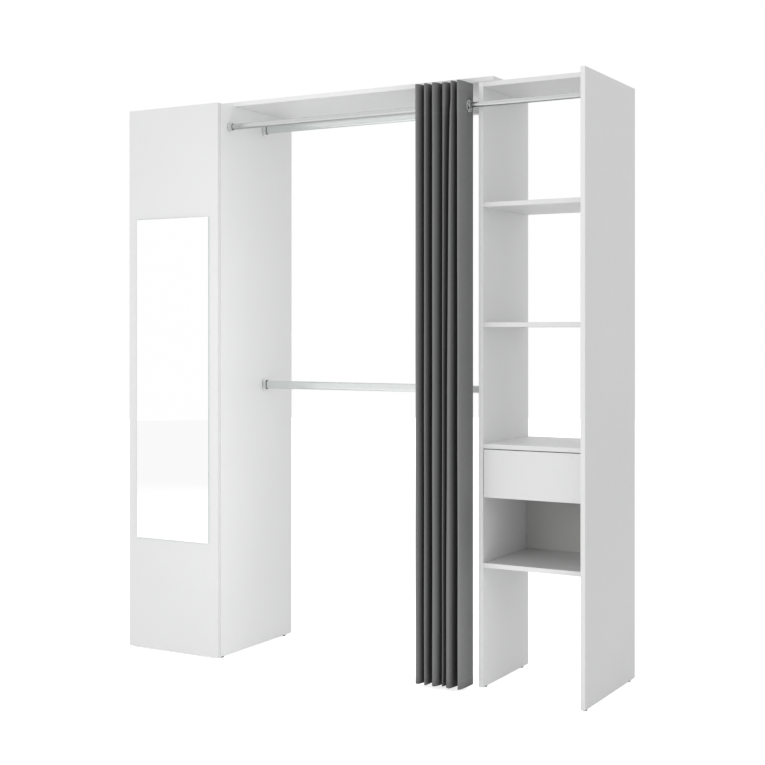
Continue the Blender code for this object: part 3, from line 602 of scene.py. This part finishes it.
def cloth_material(name, reverse=False):
    """The curtain's grey woven cloth, with painted shade deep in its folds; its reverse is one tone all over,
    darkened by a share of that painted shade.
    """
    made, tree, inputs = material(name, Roughness=0.92, Specular_IOR_Level=0.25, Sheen_Weight=0.05,
                                  Sheen_Roughness=0.5)
    at = tree.nodes.new("ShaderNodeUVMap")
    at.uv_map = "cloth"
    # the reverse is darkened all over by its share of the painted fold shade
    inside = REVERSE_INSIDE if reverse else attribute(tree, "inside")
    out = use(tree, SURFACE_OF_CLOTH, Map=at.outputs[0], Tone=CLOTH_TONE, Inside=inside)
    tree.links.new(out["Tone"], inputs["Base Color"])
    raise_grain(tree, inputs, out["Height"], 0.0002)
    return made


CHROME = metal_material("rod_chrome", (0.60, 0.61, 0.605, 1), 0.16, underside=0.28)
OVAL_CHROME = metal_material("oval_rod_chrome", (0.75, 0.78, 0.77, 1), 0.24, underside=0.10, depth=0.000002)
INNER_CHROME = metal_material("inner_rod_chrome", (0.84, 0.86, 0.85, 1), 0.34, metallic=0.35)
SOCKET_CHROME = metal_material("socket_chrome", (0.76, 0.77, 0.765, 1), 0.22, underside=0.15, grime=0.7)
EYELET_CHROME = metal_material("eyelet_chrome", (0.56, 0.57, 0.57, 1), 0.14)
ZINC = metal_material("hinge_zinc", (0.60, 0.60, 0.61, 1), 0.28, depth=0.00001)
RUNNER_PLASTIC = plastic_material("runner_plastic", (0.78, 0.78, 0.77, 1))
CLOTH_WEAVE = cloth_material("curtain_weave")
CLOTH_REVERSE = cloth_material("curtain_weave_reverse", reverse=True)


def dress_nodes():
    """Give every CAD node that stays shown its own finish."""
    finish = {name: board_material(name, WHITE) for name in WHITE_BOARDS}
    finish |= {name: board_material(name, tone, band) for name, (tone, band) in OTHER_BOARDS.items()}
    finish |= {f"hinge_{part}_{i}": ZINC for part in ("arm", "link", "cup") for i in (1, 2, 3)}
    finish |= {f"drawer_runner_{side}": RUNNER_PLASTIC for side in ("left", "right")}
    finish["mirror"] = mirror_material()
    for name, made in finish.items():
        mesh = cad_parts[name].data
        mesh.materials.clear()
        mesh.materials.append(made)


def tube(name, material, body):
    """A round or oval tube over its node's length, with eased ends."""
    low, high, centre = node_box(name)
    length = high[0] - low[0]
    radius = (high[1] - low[1]) / 2
    run = (high[2] - low[2]) / 2 - radius
    profile = eased([(0, radius), (length, radius), (length, radius - TUBE_WALL), (0, radius - TUBE_WALL)],
                    TUBE_EASE, 4)
    piece = turned(name + "_skin", (low[0], centre[1], centre[2]), (1, 0, 0), profile, material, body,
                   run=run)
    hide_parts(name)


def rod_socket(name, body, ease, collar, flange, lip, sides=64):
    """A rod's end socket: a flange with eased edges, a collar that tapers, and the pocket for the rod.

    Its joint with the board and its mouth are painted darker, painted shade that fades over a millimetre or
    two.
    """
    low, high, centre = node_box(name)
    wall, towards = (low[0], 1) if "left" in name else (high[0], -1)
    depth = high[0] - low[0]
    radius = (high[1] - low[1]) / 2
    run = (high[2] - low[2]) / 2 - radius
    outer = radius - lip
    inner = outer - collar
    profile = eased([(0, 0), (0, radius), (flange, radius - FLANGE_DRAFT), (flange + COLLAR_FOOT, outer),
                     (depth - MOUTH_START, outer - MOUTH_DRAFT), (depth, outer - MOUTH_CHAMFER),
                     (depth, inner), (flange, inner), (flange, 0)], ease, closed=False)
    points = turned_points((wall, centre[1], centre[2]), (towards, 0, 0), profile, sides, run)
    quads = outward(points.reshape(-1, 3), grid_faces(len(profile), sides, False, True))
    piece = make_piece(name + "_skin", points, quads, SOCKET_CHROME, body, weld=True)
    along = np.empty(len(piece.data.vertices) * 3)
    piece.data.vertices.foreach_get("co", along)
    out = (along[::3] - wall) * towards
    joint = np.clip(np.maximum(1.3 - out / BOARD_GRIME, 1 - np.abs(out - depth) / MOUTH_GRIME), 0, 1)
    piece.data.attributes.new("joint", "FLOAT", "POINT").data.foreach_set("value", joint)
    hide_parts(name)


def rods():
    """The three telescopic rods and their sockets: each outer tube on the root, each inner on the column."""
    for row, outer, inner in (("curtain", CHROME, CHROME), ("upper", OVAL_CHROME, INNER_CHROME),
                              ("lower", OVAL_CHROME, INNER_CHROME)):
        tube(f"{row}_rod_outer", outer, "root")
        tube(f"{row}_rod_inner", inner, "column")
        for side, end, body in (("left", "outer", "root"), ("right", "inner", "column")):
            name = f"{row}_rod_{side}_socket"
            if row == "curtain":
                rod_socket(name, body, **ROUND_SOCKET)
                continue
            low, high, _ = node_box(name)
            rod_low, rod_high, _ = node_box(f"{row}_rod_{end}")
            lip = ((high[1] - low[1]) - (rod_high[1] - rod_low[1])) / 2 - OVAL_SOCKET_WALL
            rod_socket(name, body, lip=lip, **OVAL_SOCKET)


def ring_body(number):
    """The body that an eyelet rides on: eyelet 12 is fixed beside the column, on the root."""
    return "root" if number == PANELS else f"ring_{number:02d}"


def eyelets():
    """Twelve chrome eyelets: a turned spool whose two flanges are domed and rolled at the rim."""
    for number in range(1, PANELS + 1):
        name = f"eyelet_{number:02d}"
        low, high, centre = node_box(name)
        half = (high[0] - low[0]) / 2
        rim = (high[1] - low[1]) / 2
        face = [(-SPOOL_HALF, rim), (-half + 0.0001, rim - 0.0008), (-half - 0.0005, rim - 0.0032),
                (-half, EYELET_BORE + 0.0012), (-half + 0.0008, EYELET_BORE)]
        back = [(-s, r) for s, r in reversed(face)]
        inside = [(SPOOL_HALF, EYELET_BORE + SPOOL_WALL), (-SPOOL_HALF, EYELET_BORE + SPOOL_WALL)]
        profile = eased(face + back + inside, 0.0010, 4)
        piece = turned(name + "_skin", centre, (1, 0, 0), profile, EYELET_CHROME, ring_body(number),
                       sides=72)
        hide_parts(name)


def panel_places():
    """The X of each eyelet's panel, from left to right, and the eyelets' common Y and Z."""
    centres = np.array([node_box(f"eyelet_{number:02d}")[2] for number in range(1, PANELS + 1)])
    return centres[:, 0], centres[0, 1], centres[0, 2]


def level(top, foot, share):
    """The value that lies the given share of the way from the top's to the foot's."""
    return top + (foot - top) * share


def fold_strip(number, places, mid_y, eyelet_z, rows=64, columns=48):
    """One strip of the curtain, from the middle of one eyelet's panel round a fold to the next.

    With the angle a from 0 to pi along the strip, the share of the fold's reach is q = sin(a)^0.8. Up to
    the neck, at q = n, the half width grows from half the pitch to the fold's own, as 3t^2 - 2t^3 with
    t = q/n, so that neighbouring folds swell until they almost touch. Past the neck it falls as
    (1 - w^p)^(1/p) with w = (q - n)/(1 - n), where p is 2, an ellipse, except on the right of a front fold,
    which is narrower and has a power of its own. The last fold's right side has no neck.

    What changes down the curtain goes by the share of the way from the eyelets to the hem. Round an eyelet,
    x is drawn to the panel's own plane. The two end strips carry on past the eyelet to the side hem.
    Returns the grid of points, its quads with the eyelets' holes left out, and each point's share of painted
    fold shade, which is below zero where the last fold's seen side is painted paler.
    """
    left, right = places[number - 1], places[number]
    pitch = right - left
    front, first, last = number % 2 == 1, number == 1, number == PANELS - 1
    a = np.linspace(0, math.pi, columns)[None, :]
    on_left, on_right = a < math.pi / 2, a > math.pi / 2
    z = CURTAIN_BOTTOM + (CURTAIN_TOP - CURTAIN_BOTTOM) * np.linspace(0, 1, rows)[:, None]
    fall = np.clip((eyelet_z - z) / (eyelet_z - CURTAIN_BOTTOM), 0, 1) ** FALL_POWER
    edges = [left - pitch / 2 + FOLD_GAP / 2, right + pitch / 2 - FOLD_GAP / 2]
    if front:
        fold, way = number // 2, -1
        for side in (0, 1):
            meeting = fold + side
            shift = level(MEETING_TOP[meeting], MEETING_FOOT[meeting], fall ** MEETING_FALL_POWER)
            wave = FRONT_WAVE * np.sin(9.0 * z + 1.9 * meeting) * fall * (meeting < PANELS / 2)
            edges[side] = edges[side] + shift + wave
        reach = level(REACH_TOP[fold], REACH_FOOT[fold], fall)
        valley = level(VALLEY_TOP[fold], VALLEY_FOOT[fold], fall)
        right_power = level(RIGHT_POWER_TOP[fold], RIGHT_POWER_FOOT[fold], fall)
    else:
        way, valley, right_power = 1, 0.0, 2.0
        edges = [edge + BACK_WAVE * math.sin(2.1 * number) * fall for edge in edges]
        reach = BACK_REACH + BACK_WAVE * math.cos(1.7 * number) * fall
    q = np.sin(a) ** TIP_POWER
    neck = np.where(on_right & last, 0.0, NECK)
    swell = smooth_step(np.clip(q / NECK, 0, 1))
    half = (edges[1] - edges[0]) / 2 - np.where(on_right, valley, 0.0)
    middle = (left + right) / 2 * (1 - swell) + (edges[0] + edges[1]) / 2 * swell
    width = np.where(neck > 0, pitch / 2 + (half - pitch / 2) * swell, right - middle)
    power = np.where(on_right, right_power, 2.0)
    width = width * (1 - np.clip((q - neck) / (1 - neck), 0, 1) ** power) ** (1 / power)
    x = middle - np.sign(np.cos(a)) * width
    y = mid_y + way * reach * q
    z = z + 0 * a
    # painted shade: how far a point lies behind the foremost folds sets how much its colour is darkened
    behind = reach * (1 - q) + SHORT_FOLD_SHARE * (FRONT_REACH - reach)
    depth = smooth_step(np.clip((behind - FADED_DEPTH) / (DEEP_DEPTH - FADED_DEPTH), 0, 1))
    inside = np.where((first & on_left) | (last & on_right), 0.0, depth) + 0 * x
    # painted highlight: the last fold's seen side is made paler towards its front
    if last:
        inside = inside - EDGE_FADE * np.clip(1 - behind / FRONT_FADE, 0, 1)
    plane = np.where(on_left, left, right) + 0 * x
    tail_z = z[:, :TAIL_COLUMNS]
    none = 0 * tail_z
    tail_y = mid_y + np.linspace(*HEM_TAIL, TAIL_COLUMNS)[None, :] + none
    if first:
        x, y, z, plane, inside = (np.hstack(pair) for pair in (
            (left + none, x), (tail_y, y), (tail_z, z), (left + none, plane), (none, inside)))
    if last:
        x, y, z, plane, inside = (np.hstack(pair) for pair in (
            (x, right + none), (y, tail_y[:, ::-1]), (z, tail_z), (plane, right + none), (inside, none)))
    away = np.hypot(y - mid_y, z - eyelet_z)
    draw = smooth_step(np.clip((EYELET_FADE - away) / (EYELET_FADE - EYELET_FLAT), 0, 1))
    points = np.stack((x + (plane - x) * draw, y, z), axis=-1)
    quads = grid_faces(rows, x.shape[1], False, False)
    spot = points.reshape(-1, 3)[quads].mean(axis=1)
    kept = np.hypot(spot[:, 1] - mid_y, spot[:, 2] - eyelet_z) > EYELET_HOLE
    return points, quads[kept], inside


def curtain():
    """The gathered curtain: eleven strips of one cloth, each bent between the rings at its two edges.

    A strip's UV map is its unrolled length and its height in metres, and runs on from strip to strip. The
    wall is the cloth's thickness, and thicker where a hem doubles it. The faces that Solidify adds, on the
    back, take the reverse's material.
    """
    places, mid_y, eyelet_z = panel_places()
    begun = 0.0
    height = CURTAIN_TOP - CURTAIN_BOTTOM
    for number in range(1, PANELS):
        points, quads, inside = fold_strip(number, places, mid_y, eyelet_z)
        steps = np.linalg.norm(np.diff(points, axis=1), axis=2)
        along = np.hstack((np.zeros((len(points), 1)), np.cumsum(steps, axis=1)))
        width = float(along[:, -1].mean())
        cloth_map = np.stack((begun + along, points[..., 2] - CURTAIN_BOTTOM), axis=-1).reshape(-1, 2)
        begun += width
        piece = make_piece(f"curtain_strip_{number:02d}", points, quads, CLOTH_WEAVE)
        mesh = piece.data
        mesh.materials.append(CLOTH_REVERSE)
        corner = np.empty(len(mesh.loops), int)
        mesh.loops.foreach_get("vertex_index", corner)
        mesh.uv_layers.new(name="cloth").data.foreach_set("uv", cloth_map[corner].ravel())
        mesh.attributes.new("inside", "FLOAT", "POINT").data.foreach_set("value", inside.ravel())
        v = cloth_map[:, 1]
        doubled = (v <= BOTTOM_HEM) | (v >= height - TOP_HEM)
        group = piece.vertex_groups.new(name="thick")
        for share, chosen in ((CLOTH / HEM_CLOTH, ~doubled), (1.0, doubled)):
            group.add(np.flatnonzero(chosen).tolist(), share, "REPLACE")
        wall = piece.modifiers.new("cloth_thickness", "SOLIDIFY")
        wall.thickness, wall.offset, wall.vertex_group = HEM_CLOTH, 0.0, "thick"
        wall.use_even_offset, wall.material_offset = True, 1
        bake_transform(piece)
        if number == 1:
            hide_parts("curtain_cloth")


def hinge_screws():
    """Screws of the three hinges: two in each cup's wings, two in each plate, two adjusters in each arm."""
    cups, plates, adjusters = [], [], []
    for number in (1, 2, 3):
        cup_low, cup_high, _ = node_box(f"hinge_cup_{number}")
        arm_low, arm_high, arm = node_box(f"hinge_arm_{number}")
        for side in (-1, 1):
            cups.append((cup_low[0] + CUP_SCREW_INSET, cup_high[1], arm[2] + side * CUP_SCREW_SPAN / 2))
            plates.append((arm_low[0] + PLATE_THICKNESS, arm_high[1] - PLATE_SCREW_INSET,
                           arm[2] + side * PLATE_SCREW_SPAN / 2))
        adjusters += [(arm_high[0], arm_low[1] + reach, arm[2]) for reach in ADJUSTER_REACHES]
    heads("cup_wing_screws", cups, (0, 1, 0), CUP_SCREW, "door")
    heads("hinge_plate_screws", plates, (1, 0, 0), PLATE_SCREW, "root")
    heads("hinge_adjusting_screws", adjusters, (1, 0, 0), ADJUSTER, "root")


def shelf_pins(sides=28):
    """A peg under each corner of the cabinet's loose shelves: a turned pin with a collar against the side."""
    profile = eased([(-PIN_BURIED, 0), (-PIN_BURIED, PIN_RADIUS), (0, PIN_RADIUS), (0, PIN_COLLAR),
                     (PIN_COLLAR_LENGTH, PIN_COLLAR), (PIN_COLLAR_LENGTH + 0.0004, PIN_RADIUS + 0.0001),
                     (PIN_LENGTH - 0.0004, PIN_RADIUS), (PIN_LENGTH, 0)], 0.0005, closed=False)
    left_wall, right_wall = node_box("cabinet_left_side")[1][0], node_box("cabinet_right_side")[0][0]
    quads = grid_faces(len(profile), sides, False, True)
    for shelf in (1, 2):
        low, high, _ = node_box(f"cabinet_shelf_{shelf}")
        pins = [turned_points((wall, y, low[2] - PIN_DROP), (towards, 0, 0), profile, sides)
                for wall, towards in ((left_wall, 1), (right_wall, -1))
                for y in (low[1] + PIN_INSET, high[1] - PIN_INSET)]
        every = np.concatenate([outward(pin.reshape(-1, 3), quads) + i * len(profile) * sides
                                for i, pin in enumerate(pins)])
        make_piece(f"cabinet_shelf_{shelf}_pins", np.array(pins), every, ZINC, "root",
                   weld=True)


def cams():
    """Cam locks in the fixed boards' hidden faces: on top of boards above the eye, under the others."""
    for name, (top, body) in CAM_BOARDS.items():
        low, high, _ = node_box(name)
        z, way = (high[2], 1) if top else (low[2], -1)
        spots = [(x, y, z) for x in (low[0] + CAM_END_INSET, high[0] - CAM_END_INSET)
                 for y in (low[1] + CAM_EDGE_INSET, high[1] - CAM_EDGE_INSET)]
        heads(name + "_cams", spots, (0, 0, way), CAM, body, 12, 48)


def floor_material():
    """A pale floor that the camera and shiny pieces see as white, and that keeps the object's shadow."""
    made, tree, inputs = material("studio_floor", Base_Color=(FLOOR_TONE, FLOOR_TONE, FLOOR_TONE, 1),
                                  Roughness=1.0, Specular_IOR_Level=0.0, Emission_Color=(1, 1, 1, 1))
    ray = tree.nodes.new("ShaderNodeLightPath").outputs
    shiny = maths(tree, "MAXIMUM", ray["Is Glossy Ray"], ray["Is Transmission Ray"])
    glow = maths(tree, "ADD", maths(tree, "MULTIPLY", ray["Is Camera Ray"], FLOOR_GLOW),
                 maths(tree, "MULTIPLY", shiny, FLOOR_SHINE))
    tree.links.new(glow, inputs["Emission Strength"])
    return made


def studio(rings=12, sides=64):
    """A white studio: a round floor, an even sky that looks white to the camera, and the three lamps."""
    r = np.linspace(0, FLOOR_RADIUS, rings)[:, None]
    a = (np.arange(sides) * math.tau / sides)[None, :]
    points = np.stack((r * np.cos(a), r * np.sin(a), 0 * r * a - FLOOR_DROP), axis=-1)
    quads = grid_faces(rings, sides, False, True)
    floor = make_piece("studio_floor", points, quads, floor_material(), weld=True)
    sky = bpy.data.worlds.new("studio_sky")
    bpy.context.scene.world = sky
    sky.use_nodes = True
    tree = sky.node_tree
    ray = tree.nodes.new("ShaderNodeLightPath").outputs
    seen = maths(tree, "MAXIMUM", ray["Is Camera Ray"],
                 maths(tree, "MAXIMUM", ray["Is Glossy Ray"], ray["Is Transmission Ray"]))
    back = tree.nodes["Background"].inputs
    strength = stretch(tree, seen, 0.0, 1.0, SKY_LEVEL, 1.0)
    fill(tree, (back["Color"], back["Strength"]), ((1, 1, 1, 1), strength))
    for name, place, aim, size, power in LAMPS:
        lamp = bpy.data.lights.new(name, "AREA")
        lamp.shape, lamp.size, lamp.size_y, lamp.energy = "RECTANGLE", size[0], size[1], power
        holder = bpy.data.objects.new(name, lamp)
        bpy.context.scene.collection.objects.link(holder)
        holder.location = place
        holder.rotation_euler = (Vector(place) - Vector(aim)).to_track_quat("Z", "Y").to_euler()
        holder.visible_camera = holder.visible_glossy = False


def camera():
    """The photograph's view: a level camera to the front right, with the frame shifted a little down."""
    lens = bpy.data.cameras.new("camera")
    lens.sensor_width, lens.lens, lens.shift_y = CAMERA_SENSOR, CAMERA_LENS, CAMERA_SHIFT
    eye = bpy.data.objects.new("camera", lens)
    bpy.context.scene.collection.objects.link(eye)
    eye.location = CAMERA_PLACE
    eye.rotation_euler = (math.radians(90), 0, math.radians(CAMERA_TURN))
    bpy.context.scene.camera = eye


bpy.context.scene.view_settings.view_transform = "Standard"
camera()
studio()
dress_nodes()
rods()
eyelets()
curtain()
hinge_screws()
shelf_pins()
cams()
